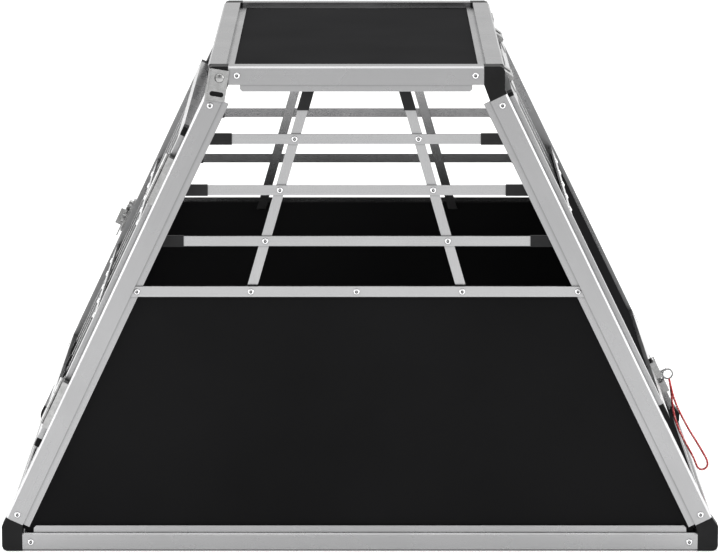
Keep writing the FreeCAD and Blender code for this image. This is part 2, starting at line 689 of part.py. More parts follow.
def door():
    """The front door: frame, upright bars with caps, two cross bars and rivets."""
    leaf_frame("door", "front", "dims.door_low", "dims.door_high", "dims.door_corner",
               "dims.door_corner")
    cap = value("dims.cap_length * 0.6")
    low = dim("door_low") + dim("tube")
    high = dim("door_high") - dim("tube")
    length = "dims.door_high - dims.door_low - 2 * dims.tube - 1.2 * dims.cap_length"
    bars = slope_strips("door_bar", "front", upright_positions(), low + cap, length, -1)
    node(group("door_uprights", bars), "door_uprights")
    node(group("door_caps", bar_caps("door_cap", "front", (low, high - cap), -2)), "door_caps")
    inner = value(f"{LEAF_WIDTH} - dims.tube")
    heights = [low + (high - low) * share for share in (0.34, 0.67)]
    bars = [block(f"door_cross_bar_{index}",
                  (f"2 * ({LEAF_WIDTH} - dims.tube)", "dims.bar_width", "dims.bar_sheet"),
                  on_slope("front", -inner, at - dim("bar_width") / 2, 1))
            for index, at in enumerate(heights)]
    node(group("door_cross_bars", bars), "door_cross_bars")
    slope_rivets("door_rivets", "front",
                 [(across, at, 3) for across in upright_positions() for at in heights])


def hatch():
    """The rear hatch: frame, black board, flat bar, upright bars with caps and rivets."""
    leaf_frame("hatch", "rear", "dims.hatch_low", "dims.hatch_high", "dims.hatch_corner",
               "dims.hatch_top_cap")
    inner = value(f"{LEAF_WIDTH} - dims.tube")
    low = dim("hatch_low") + dim("tube")
    high = dim("hatch_high") - dim("tube")
    cap = value("dims.cap_length * 0.6")
    span = f"2 * ({LEAF_WIDTH} - dims.tube)"
    board = block("hatch_board", (span, "dims.hatch_board_high - dims.hatch_low - dims.tube",
                                  "dims.board"), on_slope("rear", -inner, low, -2))
    node(board, "hatch_board")
    bar = block("hatch_board_bar", (span, "dims.board_bar_width", "dims.bar_sheet"),
                on_slope("rear", -inner, dim("hatch_bar_low"), 1))
    node(bar, "hatch_board_bar")
    start = dim("hatch_bar_low") - 6
    length = f"dims.hatch_high - dims.tube - 0.6 * dims.cap_length - {start}"
    bars = slope_strips("hatch_bar", "rear", upright_positions(), start, length, -4)
    node(group("hatch_uprights", bars), "hatch_uprights")
    node(group("hatch_caps", bar_caps("hatch_cap", "rear", (high - cap,), -4.5)), "hatch_caps")
    middle = dim("hatch_bar_low") + dim("board_bar_width") / 2
    slope_rivets("hatch_rivets", "rear", [(across, middle, 3) for across in upright_positions()])


# ---- hinges ---------------------------------------------------------------------------------

TURN_Z_TO_Y = FreeCAD.Rotation(Vector(1, 0, 0), -90)


def hinge_frame(end, across, up, axis):
    """Local Z runs along the pin, local X towards the moving leaf and local Y outwards."""
    turns = {"up": (Vector(-1, 0, 0), Vector(0, 0, 1), Vector(0, 1, 0)),
             "across": (Vector(0, -1, 0), Vector(0, 0, 1), Vector(-1, 0, 0))}
    turn = FreeCAD.Rotation(*turns[axis], "XYZ")
    return on_slope(end, across, up, dim("leaf_proud") + dim("knuckle_radius"), turn)


def in_frame(frame, x, y, z):
    """A placement at a point of a hinge's own frame."""
    return frame.multiply(FreeCAD.Placement(Vector(x, y, z), FreeCAD.Rotation()))


def knuckle_spans():
    """Start and length of the lower, middle and upper thirds of a hinge."""
    whole, play = dim("hinge_length"), dim("knuckle_play")
    third = (whole - 2 * play) / 3
    return [(0, third), (third + play, third), (2 * (third + play), third)]


def moving_leaf(name, frame):
    """The leaf that is screwed to the door or hatch, with the middle knuckle."""
    radius, gauge = dim("knuckle_radius"), "dims.hinge_sheet"
    start, length = knuckle_spans()[1]
    pieces = [
        rod(name + "_knuckle", "dims.knuckle_radius", length, in_frame(frame, 0, 0, start)),
        block(name + "_neck", ("dims.hinge_leaf", gauge, length),
              in_frame(frame, 0, -radius, start)),
        block(name + "_plate", ("dims.hinge_leaf - dims.hinge_plate_inset", gauge, "dims.hinge_length"),
              in_frame(frame, dim("hinge_plate_inset"), -radius, 0)),
    ]
    bore = rod(name + "_bore", "dims.pin_radius + dims.pin_play", "dims.hinge_length", frame)
    return cut(name, fuse(name + "_blank", pieces), bore)


def post_leaf(name, frame):
    """The door hinge's fixed leaf, on a spacer that brings it level with the door."""
    radius, gauge = dim("knuckle_radius"), "dims.hinge_sheet"
    reach = dim("hinge_leaf") + 1.5
    wide = f"{reach} - dims.hinge_plate_inset"
    pieces = [block(name + "_plate", (wide, gauge, "dims.hinge_length"),
                    in_frame(frame, -reach, -radius, 0)),
              block(name + "_spacer", (wide, "dims.leaf_proud", "dims.hinge_length"),
                    in_frame(frame, -reach, -radius - dim("leaf_proud"), 0))]
    for index in (0, 2):
        start, length = knuckle_spans()[index]
        pieces.append(rod(f"{name}_knuckle_{index}", "dims.knuckle_radius", length,
                          in_frame(frame, 0, 0, start)))
        pieces.append(block(f"{name}_neck_{index}", (reach, gauge, length),
                            in_frame(frame, -reach, -radius, start)))
    bore = rod(name + "_bore", "dims.pin_radius", "dims.hinge_length", frame)
    return cut(name, fuse(name + "_blank", pieces), bore)


def rail_leaf(name, frame, middle):
    """The hatch hinge's fixed leaf, bent up on to the outside of the rear top rail."""
    up, out = "(dims.hatch_high + 2)", "(dims.leaf_proud + dims.knuckle_radius)"
    axis_x = f"(dims.foot_rear - {up} * sin(dims.lean_rear) + {out} * cos(dims.lean_rear))"
    axis_z = f"({up} * cos(dims.lean_rear) + {out} * sin(dims.lean_rear))"
    face, top = crown_x("rear"), "dims.total_height - 2"
    link = [(face, top), (f"{face} + dims.hinge_sheet", top),
            (f"{face} + dims.hinge_sheet", f"{axis_z} + 9"), (f"{axis_x} + 1", f"{axis_z} + 2.5"),
            (f"{axis_x} - 1", f"{axis_z} + 0.5"), (face, f"{axis_z} + 7")]
    whole = dim("hinge_length")
    high_edge = middle + whole / 2
    pieces = [block(name + "_plate",
                    ("dims.hinge_sheet", "dims.hinge_length", f"{top} - dims.hinge_foot"),
                    FreeCAD.Placement(Vector(value(face), high_edge - whole, dim("hinge_foot")),
                                      FreeCAD.Rotation()))]
    for index in (0, 2):
        start, length = knuckle_spans()[index]
        pieces.append(rod(f"{name}_knuckle_{index}", "dims.knuckle_radius", length,
                          in_frame(frame, 0, 0, start)))
        place = FreeCAD.Placement(Vector(0, high_edge - start, 0), FreeCAD.Rotation())
        pieces.append(prism(f"{name}_link_{index}", "XZ_Plane", [link], str(length), place))
    bore = rod(name + "_bore", "dims.pin_radius", "dims.hinge_length", frame)
    return cut(name, fuse(name + "_blank", pieces), bore)


def hinge_pin(name, frame):
    """The pin of one hinge."""
    return rod(name, "dims.pin_radius", "dims.hinge_length", frame)


def hinges():
    """Two butt hinges on the door's right edge and two on the hatch's top edge."""
    across = value(f"{HALF} - dims.tube - dims.leaf_gap / 2")
    door_frames = [hinge_frame("front", across, up, "up")
                   for up in (dim("door_hinge_low"), dim("door_hinge_high"))]
    node(group("door_hinge_post_leaves",
               [post_leaf(f"post_leaf_{i}", frame) for i, frame in enumerate(door_frames)]),
         "door_hinge_post_leaves")
    node(group("door_hinge_leaves",
               [moving_leaf(f"door_leaf_{i}", frame) for i, frame in enumerate(door_frames)]),
         "door_hinge_leaves")
    node(group("door_hinge_pins",
               [hinge_pin(f"door_pin_{i}", frame) for i, frame in enumerate(door_frames)]),
         "door_hinge_pins")
    middles = (-dim("hatch_hinge_spread"), dim("hatch_hinge_spread"))
    half = dim("hinge_length") / 2
    hatch_frames = [hinge_frame("rear", middle + half, dim("hatch_high") + 2, "across")
                    for middle in middles]
    node(group("hatch_hinge_rail_leaves",
               [rail_leaf(f"rail_leaf_{i}", frame, middle)
                for i, (frame, middle) in enumerate(zip(hatch_frames, middles))]),
         "hatch_hinge_rail_leaves")
    node(group("hatch_hinge_leaves",
               [moving_leaf(f"hatch_leaf_{i}", frame) for i, frame in enumerate(hatch_frames)]),
         "hatch_hinge_leaves")
    node(group("hatch_hinge_pins",
               [hinge_pin(f"hatch_pin_{i}", frame) for i, frame in enumerate(hatch_frames)]),
         "hatch_hinge_pins")


# ---- door latch -------------------------------------------------------------------------------

def door_latch():
    """A turn latch: case on the door, wing knob with cam, and a keeper on the post."""
    up = dim("latch_height")
    proud = dim("leaf_proud")
    axis = -value(f"{LEAF_WIDTH} - dims.tube / 2")
    case_top = proud + dim("latch_case")
    case = block("latch_case_blank", ("dims.case_width", "dims.case_length", "dims.latch_case"),
                 on_slope("front", axis - dim("case_width") / 2, up - dim("case_drop"), proud))
    hole = rod("latch_case_bore", "dims.spindle_radius + dims.pin_play", "dims.latch_case",
               on_slope("front", axis, up, proud))
    bump = rod("latch_bump", "dims.bump_radius", "dims.latch_case + dims.bump_radius",
               on_slope("front", axis, up + dim("bump_offset"), proud))
    node(cut("latch_case", fuse("latch_case_body", [case, bump]), hole), "latch_case")
    cam_low = case_top + dim("latch_play")
    cam_top = cam_low + dim("cam_sheet")
    cam_blank = fuse("cam_blank", [
        rod("cam_hub", "dims.cam_hub", "dims.cam_sheet", on_slope("front", axis, up, cam_low)),
        block("cam_tongue", ("dims.cam_width", "dims.cam_reach", "dims.cam_sheet"),
              on_slope("front", axis - dim("cam_width") / 2, up - dim("cam_reach"), cam_low))])
    cam_bore = rod("cam_bore", "dims.spindle_radius", "dims.cam_sheet",
                   on_slope("front", axis, up, cam_low))
    node(cut("latch_cam", cam_blank, cam_bore), "latch_cam")
    spindle_low = proud + 0.2
    knob = fuse("latch_knob", [
        rod("spindle", "dims.spindle_radius", f"{cam_top - spindle_low}",
            on_slope("front", axis, up, spindle_low)),
        rod("knob_boss", "dims.knob_radius", "dims.knob_boss", on_slope("front", axis, up, cam_top)),
        block("knob_wing", ("dims.wing_width", "dims.wing_length", "dims.wing_rise"),
              on_slope("front", axis - dim("wing_width") / 2, up - dim("wing_length") / 2,
                       cam_top))])
    node(knob, "latch_knob")
    edge, low, clear = -value(HALF) + 2, up - dim("catch_height") / 2, 0.4
    keeper = fuse("latch_keeper", [
        block("keeper_base", ("dims.catch_base", "dims.catch_height", f"{cam_low - clear}"),
              on_slope("front", edge, low, 0)),
        block("keeper_wall", ("dims.catch_wall", "dims.catch_height", f"{cam_top + 2}"),
              on_slope("front", edge, low, 0)),
        block("keeper_hook", ("dims.catch_reach", "dims.catch_height", "dims.catch_sheet"),
              on_slope("front", edge, low, cam_top + clear))])
    node(keeper, "latch_keeper")


# ---- hatch latch and pull cord ------------------------------------------------------------------

def slope_rod(name, radius, length, up, out):
    """A cylinder up the rear face on the line of the bolt."""
    return rod(name, radius, length, on_slope("rear", dim("bolt_across"), up, out, TURN_Z_TO_Y))


def hatch_latch():
    """A bolt in a housing on the hatch, its finger and ring, and a keeper below."""
    across, axis = dim("bolt_across"), dim("bolt_axis")
    edge = across - dim("housing_width") / 2
    finger = dim("finger_height")
    channel_size = ("2 * dims.finger_radius + 2 * dims.bolt_play", "14", "8")
    channel_x = across - dim("finger_radius") - dim("bolt_play")
    housing = block("housing_blank", ("dims.housing_width", "dims.tube",
                                      "dims.housing_top - dims.leaf_proud"),
                    on_slope("rear", edge, dim("hatch_low"), dim("leaf_proud")))
    opening = fuse("housing_opening", [
        slope_rod("housing_bore", "dims.bolt_radius + dims.pin_play", "dims.tube",
                  dim("hatch_low"), axis),
        block("housing_channel", channel_size, on_slope("rear", channel_x, finger - 12, axis))])
    node(cut("bolt_housing", housing, opening), "bolt_housing")
    keeper = block("bolt_keeper_blank", ("dims.housing_width",
                                         "dims.keeper_high - dims.keeper_low",
                                         f"dims.housing_top + {LIP_BACK}"),
                   on_slope("rear", edge, dim("keeper_low"), -value(LIP_BACK)))
    pocket = fuse("keeper_opening", [
        slope_rod("keeper_bore", "dims.bolt_radius + dims.bolt_play",
                  "dims.keeper_high - dims.keeper_low", dim("keeper_low"), axis),
        block("keeper_channel", (channel_size[0], "20", channel_size[2]),
              on_slope("rear", channel_x, dim("keeper_low") - 1, axis))])
    node(cut("bolt_keeper", keeper, pocket), "bolt_keeper")
    bolt = fuse("spring_bolt", [
        slope_rod("bolt_shank", "dims.bolt_radius", "dims.bolt_high - dims.bolt_low",
                  dim("bolt_low"), axis),
        rod("bolt_finger", "dims.finger_radius", "dims.finger_reach + 1.5 - dims.bolt_axis",
            on_slope("rear", across, finger, axis))])
    node(bolt, "spring_bolt")
    tip = on_slope("rear", across, finger, dim("finger_reach")).Base
    ring = doc.addObject("Part::Torus", "pull_ring")
    ring.setExpression("Radius1", "dims.ring_radius")
    ring.setExpression("Radius2", "dims.ring_wire")
    hang = Vector(0.5, 0, -0.866) * dim("ring_radius")
    ring.Placement = FreeCAD.Placement(tip + hang, FreeCAD.Rotation(Vector(1, 0, 0), 90))
    node(ring, "pull_ring")


def cord_path(points):
    """Straight runs joined by tangent arcs, each as large as its two runs allow."""
    edges, radii = [], []
    start = points[0]
    for before, here, after in zip(points, points[1:], points[2:]):
        back, ahead = before - here, after - here
        shorter = min(back.Length, ahead.Length)
        half_turn = (math.pi - back.getAngle(ahead)) / 2
        reach = 0.45 * shorter
        radii.append(reach / math.tan(half_turn))
        back.normalize()
        ahead.normalize()
        enter, leave = here + back * reach, here + ahead * reach
        bisector = (back + ahead).normalize()
        centre = here + bisector * (radii[-1] / math.cos(half_turn))
        crest = centre - bisector * radii[-1]
        edges.append(Part.LineSegment(start, enter).toShape())
        edges.append(Part.Arc(enter, crest, leave).toShape())
        start = leave
    edges.append(Part.LineSegment(start, points[-1]).toShape())
    return Part.Wire(edges), radii


def pull_cord():
    """The red pull cord, a limp round cord in one open loop."""
    points = [Vector(*point) for point in CORD_ROUTE]
    path, radii = cord_path(points)
    radius = dim("cord_radius")
    section = Part.Wire([Part.makeCircle(radius, points[0], points[1] - points[0])])
    tube = path.makePipeShell([section], True, False)
    cord = doc.addObject("Part::Feature", "pull_cord")
    cord.Shape = tube
    node(cord, "pull_cord")
    print("cord length", round(path.Length, 1), "tightest radius", round(min(radii), 1),
          "volume", round(tube.Volume, 1), "expected", round(math.pi * radius ** 2 * path.Length, 1))


# ---- assembly -------------------------------------------------------------------------------------

for side_name in SIDES:
    base_side_rail(side_name)
    top_side_rail(side_name)
    for end_name in ENDS:
        post(side_name, end_name)
for level_name in ("base", "top"):
    elbows = [connector(side_name, end_name, level_name)
              for side_name in SIDES for end_name in ENDS]
    node(group(f"{level_name}_corners", elbows), f"{level_name}_corners")
for end_name in ENDS:
    base_cross_rail(end_name)
    top_cross_rail(end_name)
floor_and_top()
for side_name in SIDES:
    side_board(side_name)
node(group("board_bars", [board_bar(side_name) for side_name in SIDES]), "board_bars")
level_sets = [grille_bars(side_name) for side_name in SIDES]
upright_sets = [grille_uprights(side_name) for side_name in SIDES]
node(group("grille_level_bars", sum((found[0] for found in level_sets), [])), "grille_level_bars")
node(group("grille_uprights", sum((found[0] for found in upright_sets), [])), "grille_uprights")
node(group("grille_caps", sum((found[1] for found in level_sets + upright_sets), [])),
     "grille_caps")
node(group("frame_rivets", sum((side_rivets(side_name) for side_name in SIDES), [])),
     "frame_rivets")
tie_down_bracket()
front_fixed_pieces()
rear_fixed_pieces()
door()
hatch()
hinges()
door_latch()
hatch_latch()
pull_cord()
doc.recompute()

for thing in doc.Objects:
    if "Invalid" in thing.State or "Error" in thing.State:
        raise RuntimeError(f"{thing.Name} did not build: {thing.State}")
for piece in nodes:
    if piece.Shape.isNull() or not piece.Shape.isValid():
        raise RuntimeError(f"{piece.Label} has no valid shape")

os.makedirs("parts", exist_ok=True)
for piece in nodes:
    piece.Shape.exportStep(f"parts/{piece.Label}.step")
print(len(nodes), "nodes")
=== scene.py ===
"""Looks of the trapezoidal aluminium dog transport box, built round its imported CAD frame."""
import bpy
import math
from mathutils import Matrix, Vector


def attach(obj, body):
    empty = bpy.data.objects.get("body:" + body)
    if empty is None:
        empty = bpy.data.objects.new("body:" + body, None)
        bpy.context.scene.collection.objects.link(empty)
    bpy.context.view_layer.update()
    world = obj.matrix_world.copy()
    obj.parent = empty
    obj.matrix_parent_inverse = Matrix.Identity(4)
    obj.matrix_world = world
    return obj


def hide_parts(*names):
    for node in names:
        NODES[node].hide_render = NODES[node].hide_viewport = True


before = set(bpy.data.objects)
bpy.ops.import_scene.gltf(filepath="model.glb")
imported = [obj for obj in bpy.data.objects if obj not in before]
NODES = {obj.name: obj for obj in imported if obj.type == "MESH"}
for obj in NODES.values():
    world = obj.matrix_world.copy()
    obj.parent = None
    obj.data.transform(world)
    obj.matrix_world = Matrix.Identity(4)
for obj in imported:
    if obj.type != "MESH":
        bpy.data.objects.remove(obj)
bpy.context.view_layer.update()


# ---- camera ------------------------------------------------------------------------------

CAMERA_AT = Vector((0.0, -4.348, 1.0696))
CAMERA_PITCH = math.radians(10.869)
SENSOR_WIDTH = 36.0
FOCAL_RATIO = 5.7055556  # focal length over sensor width
FAR_CLIP = 50


def make_camera():
    """A long lens, square on to the right side and looking slightly down."""
    data = bpy.data.cameras.new("camera")
    data.sensor_width = SENSOR_WIDTH
    data.lens = SENSOR_WIDTH * FOCAL_RATIO
    data.clip_end = FAR_CLIP
    camera = bpy.data.objects.new("camera", data)
    camera.location = CAMERA_AT
    camera.rotation_euler = (math.pi / 2 - CAMERA_PITCH, 0, 0)
    bpy.context.scene.collection.objects.link(camera)
    bpy.context.scene.camera = camera


# ---- pull cord -----------------------------------------------------------------------------

CORD_DIAMETER = 0.0024
CORD_ROUTE = [
    (0.3309, -0.0513, 0.1326), (0.3327, -0.0515, 0.1243), (0.3352, -0.0520, 0.1143),
    (0.3396, -0.0528, 0.1023), (0.3461, -0.0534, 0.0894), (0.3531, -0.0535, 0.0765),
    (0.3610, -0.0532, 0.0641), (0.3674, -0.0526, 0.0531), (0.3719, -0.0522, 0.0455),
    (0.3738, -0.0518, 0.0395), (0.3722, -0.0510, 0.0344), (0.3674, -0.0500, 0.0321),
    (0.3630, -0.0491, 0.0341), (0.3610, -0.0484, 0.0390), (0.3582, -0.0478, 0.0460),
    (0.3526, -0.0471, 0.0560), (0.3463, -0.0467, 0.0675), (0.3408, -0.0468, 0.0794),
    (0.3370, -0.0474, 0.0913), (0.3349, -0.0480, 0.1033), (0.3338, -0.0484, 0.1143),
    (0.3326, -0.0486, 0.1238), (0.3309, -0.0487, 0.1326),
]
CORD_ROUNDNESS = 5
CORD_SMOOTHNESS = 10
CORD_ORDER = 3


def make_cord(material):
    """The limp red pull cord, one open loop from the ring and back to it."""
    curve = bpy.data.curves.new("pull_cord_line", "CURVE")
    curve.dimensions = "3D"
    curve.bevel_depth = CORD_DIAMETER / 2
    curve.bevel_resolution = CORD_ROUNDNESS
    curve.resolution_u = CORD_SMOOTHNESS
    curve.use_fill_caps = True
    spline = curve.splines.new("NURBS")
    spline.points.add(len(CORD_ROUTE) - 1)
    for point, place in zip(spline.points, CORD_ROUTE):
        point.co = (*place, 1)
    spline.order_u = CORD_ORDER
    spline.use_endpoint_u = True
    cord = bpy.data.objects.new("red_pull_cord", curve)
    bpy.context.scene.collection.objects.link(cord)
    curve.materials.append(material)
    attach(cord, "hatch_bolt")
    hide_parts("pull_cord")


# ---- materials -------------------------------------------------------------------------------

NOISE_LOW, NOISE_HIGH = 0.3, 0.7
OPEN_LOW, OPEN_HIGH = 0.45, 0.95
# RECESS_*: painted shade, the base colour darkened where another wall stands close by.
RECESS_REACH = 0.003
RECESS_SHADE = 0.6
RECESS_SAMPLES = 8


class Surface:
    """A node material under construction."""

    def __init__(self, name):
        self.material = bpy.data.materials.new(name)
        self.material.use_nodes = True
        self.tree = self.material.node_tree
        self.shader = self.tree.nodes["Principled BSDF"]
        self.place = self.add("ShaderNodeTexCoord").outputs["Object"]

    def add(self, kind, **settings):
        made = self.tree.nodes.new(kind)
        for key, setting in settings.items():
            setattr(made, key, setting)
        return made

    def link(self, start, end):
        self.tree.links.new(start, end)

    def mapped(self, scale, turn=0.0):
        """The position, turned about Y and scaled, so that grain runs along one axis."""
        rotate = self.add("ShaderNodeMapping")
        rotate.inputs["Rotation"].default_value = (0, turn, 0)
        stretch = self.add("ShaderNodeMapping")
        stretch.inputs["Scale"].default_value = scale
        self.link(self.place, rotate.inputs["Vector"])
        self.link(rotate.outputs["Vector"], stretch.inputs["Vector"])
        return stretch.outputs["Vector"]

    def noise(self, vector, scale, detail=3.0):
        texture = self.add("ShaderNodeTexNoise")
        texture.inputs["Scale"].default_value = scale
        texture.inputs["Detail"].default_value = detail
        self.link(vector, texture.inputs["Vector"])
        return texture.outputs["Fac"]

    def ranged(self, factor, low, high):
        ramp = self.add("ShaderNodeMapRange")
        ramp.inputs["From Min"].default_value = NOISE_LOW
        ramp.inputs["From Max"].default_value = NOISE_HIGH
        ramp.inputs["To Min"].default_value = low
        ramp.inputs["To Max"].default_value = high
        self.link(factor, ramp.inputs["Value"])
        return ramp.outputs["Result"]

    def colours(self, factor, low, high):
        ramp = self.add("ShaderNodeValToRGB")
        ramp.color_ramp.elements[0].position = NOISE_LOW
        ramp.color_ramp.elements[1].position = NOISE_HIGH
        ramp.color_ramp.elements[0].color = (*low, 1)
        ramp.color_ramp.elements[1].color = (*high, 1)
        self.link(factor, ramp.inputs["Fac"])
        self.link(ramp.outputs["Color"], self.shader.inputs["Base Color"])

    def shade_recesses(self):
        """Darken the base colour where another wall stands close by: painted shade in the
        recesses.
        """
        near = self.add("ShaderNodeAmbientOcclusion", samples=RECESS_SAMPLES)
        near.inputs["Distance"].default_value = RECESS_REACH
        ramp = self.add("ShaderNodeMapRange")
        ramp.inputs["From Min"].default_value = OPEN_LOW
        ramp.inputs["From Max"].default_value = OPEN_HIGH
        ramp.inputs["To Min"].default_value = RECESS_SHADE
        self.link(near.outputs["AO"], ramp.inputs["Value"])
        mix = self.add("ShaderNodeMixRGB", blend_type="MULTIPLY")
        mix.inputs["Fac"].default_value = 1.0
        base = self.shader.inputs["Base Color"]
        self.link(base.links[0].from_socket, mix.inputs["Color1"])
        self.link(ramp.outputs["Result"], mix.inputs["Color2"])
        self.link(mix.outputs["Color"], base)

    def bump(self, height, strength, distance):
        node = self.add("ShaderNodeBump")
        node.inputs["Strength"].default_value = strength
        node.inputs["Distance"].default_value = distance
        self.link(height, node.inputs["Height"])
        self.link(node.outputs["Normal"], self.shader.inputs["Normal"])


GRAIN_DARKENING = 0.93
SATIN = (0.22, 0.32)


def plain(name, colour, rough):
    """A material of one colour and one roughness."""
    surface = Surface(name)
    surface.shader.inputs["Base Color"].default_value = (*colour, 1)
    surface.shader.inputs["Roughness"].default_value = rough
    return surface.material


def aluminium(name, shade, grain, turn=0.0, rough=SATIN):
    """Satin anodised aluminium with fine extrusion lines along one axis, and painted shade near
    close walls.
    """
    surface = Surface(name)
    surface.shader.inputs["Metallic"].default_value = 1.0
    lines = surface.noise(surface.mapped(grain, turn), 1.0, 4.0)
    cloud = surface.noise(surface.place, 14.0)
    dark = tuple(channel * GRAIN_DARKENING for channel in shade)
    surface.colours(lines, dark, shade)
    surface.shade_recesses()
    surface.link(surface.ranged(cloud, *rough), surface.shader.inputs["Roughness"])
    surface.bump(lines, 0.10, 0.0002)
    return surface.material


def zinc_steel(name):
    """Bright zinc-plated steel with faint stains."""
    surface = Surface(name)
    surface.shader.inputs["Metallic"].default_value = 1.0
    stain = surface.noise(surface.place, 180.0, 5.0)
    surface.colours(stain, (0.26, 0.26, 0.257), (0.40, 0.40, 0.40))
    surface.link(surface.ranged(stain, 0.16, 0.32), surface.shader.inputs["Roughness"])
    surface.bump(stain, 0.08, 0.0002)
    return surface.material


def black_board(name, shade, rough, gloss):
    """Smooth black laminate with a very fine pebbled surface."""
    surface = Surface(name)
    pebble = surface.noise(surface.place, 1400.0, 2.0)
    cloud = surface.noise(surface.place, 6.0)
    surface.colours(cloud, tuple(c * 0.9 for c in shade), tuple(c * 1.1 for c in shade))
    surface.link(surface.ranged(cloud, *rough), surface.shader.inputs["Roughness"])
    surface.shader.inputs["Specular IOR Level"].default_value = gloss
    surface.bump(pebble, 0.10, 0.0001)
    return surface.material


def moulded_nylon(name, shade):
    """Black moulded nylon with spark-eroded grain."""
    surface = Surface(name)
    grain = surface.noise(surface.place, 900.0, 4.0)
    cloud = surface.noise(surface.place, 40.0)
    surface.colours(cloud, tuple(c * 0.8 for c in shade), tuple(c * 1.3 for c in shade))
    surface.link(surface.ranged(grain, 0.42, 0.58), surface.shader.inputs["Roughness"])
    surface.shader.inputs["Specular IOR Level"].default_value = 0.12
    surface.bump(grain, 0.25, 0.0002)
    return surface.material


def braided_cord(name):
    """Red braid with a white fleck in it."""
    surface = Surface(name)
    strand = surface.noise(surface.mapped((500, 500, 900)), 1.0, 1.0)
    ramp = surface.add("ShaderNodeValToRGB")
    ramp.color_ramp.elements[0].position = 0.40
    ramp.color_ramp.elements[0].color = (0.30, 0.005, 0.008, 1)
    ramp.color_ramp.elements[1].position = 0.56
    ramp.color_ramp.elements[1].color = (0.62, 0.020, 0.025, 1)
    fleck = ramp.color_ramp.elements.new(0.66)
    fleck.color = (0.80, 0.55, 0.52, 1)
    surface.link(strand, ramp.inputs["Fac"])
    surface.link(ramp.outputs["Color"], surface.shader.inputs["Base Color"])
    surface.shader.inputs["Roughness"].default_value = 0.75
    surface.shader.inputs["Sheen Weight"].default_value = 0.3
    surface.bump(strand, 0.5, 0.0004)
    return surface.material


FRAME_SHADE = (0.34, 0.34, 0.344)
BAR_SHADE = (0.38, 0.38, 0.384)
RIVET_SHADE = (0.80, 0.80, 0.81)
BAR_ROUGH = (0.20, 0.28)
RIVET_ROUGH = (0.16, 0.26)
FINE, LONG = 2500, 6
RIVET_GRAIN = (400, 400, 400)
FRONT_LEAN, REAR_LEAN = math.radians(25.3), math.radians(25.9)


def make_materials():
    """One material for each kind of finish and direction of grain."""
    return {
        "along": aluminium("aluminium_along", FRAME_SHADE, (LONG, FINE, FINE)),
        "across": aluminium("aluminium_across", FRAME_SHADE, (FINE, LONG, FINE)),
        "front_post": aluminium("aluminium_front_post", FRAME_SHADE, (FINE, FINE, LONG),
                                -FRONT_LEAN),
        "rear_post": aluminium("aluminium_rear_post", FRAME_SHADE, (FINE, FINE, LONG), REAR_LEAN),
        "bar": aluminium("aluminium_bar", BAR_SHADE, (LONG, FINE, FINE), 0, BAR_ROUGH),
        "upright": aluminium("aluminium_upright", BAR_SHADE, (FINE, FINE, LONG), 0, BAR_ROUGH),
        "rivet": aluminium("aluminium_rivet", RIVET_SHADE, RIVET_GRAIN, 0, RIVET_ROUGH),
        # Near-black painted shade for the hollow round each rivet's mandrel.
        "hole": plain("rivet_hollow_shade", (0.012, 0.012, 0.012), 0.7),
        "steel": zinc_steel("zinc_steel"),
        "board": black_board("board_black", (0.0085, 0.0085, 0.0088), (0.50, 0.58), 0.0),
        "top": black_board("board_top", (0.0165, 0.0165, 0.0170), (0.55, 0.62), 0.0),
        "corner": moulded_nylon("nylon_corner", (0.008, 0.008, 0.0083)),
        "cap": moulded_nylon("nylon_cap", (0.014, 0.014, 0.0145)),
        "cord": braided_cord("braided_red"),
    }


def finish_of(name):
    """Which finish a CAD node has."""
    if name in ("top_panel", "floor_panel"):
        return "top"
    if name.endswith("corners"):
        return "corner"
    if name.endswith("caps"):
        return "cap"
    if name.endswith("rivets"):
        return "rivet"
    if name.endswith("board"):
        return "board"
    if name.endswith("front_post") or name == "door_stiles":
        return "front_post"
    if name.endswith("rear_post") or name == "hatch_stiles":
        return "rear_post"
    if name.endswith("uprights") or name == "front_kick_bars":
        return "upright"
    if name in ("board_bars", "grille_level_bars"):
        return "bar"
    if name in ("left_base_rail", "right_base_rail", "left_top_rail", "right_top_rail"):
        return "along"
    if name.endswith(("rail", "rails", "cross", "bars", "board_bar")):
        return "across"
    return "steel"


EDGE = {"corner": 0.0012, "cap": 0.0006, "board": 0.0003, "top": 0.0003, "steel": 0.0003,
        "bar": 0.0003, "upright": 0.0003, "rivet": 0.0}
FRAME_EDGE = 0.0009
EDGE_SEGMENTS = 3
SOFTENED_FROM = math.radians(35)


def dress_nodes(materials):
    """Give each CAD node its finish and softened edges."""
    for name, piece in NODES.items():
        finish = finish_of(name)
        piece.data.materials.clear()
        piece.data.materials.append(materials[finish])
        width = EDGE.get(finish, FRAME_EDGE)
        if width:
            bevel = piece.modifiers.new("soft_edges", "BEVEL")
            bevel.width = width
            bevel.segments = EDGE_SEGMENTS
            bevel.limit_method = "ANGLE"
            bevel.angle_limit = SOFTENED_FROM


# ---- rivets ---------------------------------------------------------------------------------

RIVET_BODIES = {"frame_rivets": "frame", "door_rivets": "door", "hatch_rivets": "hatch"}
# Radius and height above the seat in millimetres, from the rim inwards.
RIVET_PROFILE = [(3.25, 0.0), (3.22, 0.35), (2.95, 0.95), (2.45, 1.38), (1.95, 1.58), (1.50, 1.55),
                 (1.28, 1.30), (1.15, 0.85), (0.62, 0.80), (0.55, 1.10), (0.30, 1.22), (0.0, 1.22)]
# The groove round the mandrel is near black: painted shade standing for a deep hollow.
SHADED_HOLLOW_RINGS = (5, 6, 7)
RIVET_SIDES = 28
HEAD_HALF = 0.0008
MM_PER_M = 1000
BOX_MIDDLE = Vector((0, 0, 0.25))


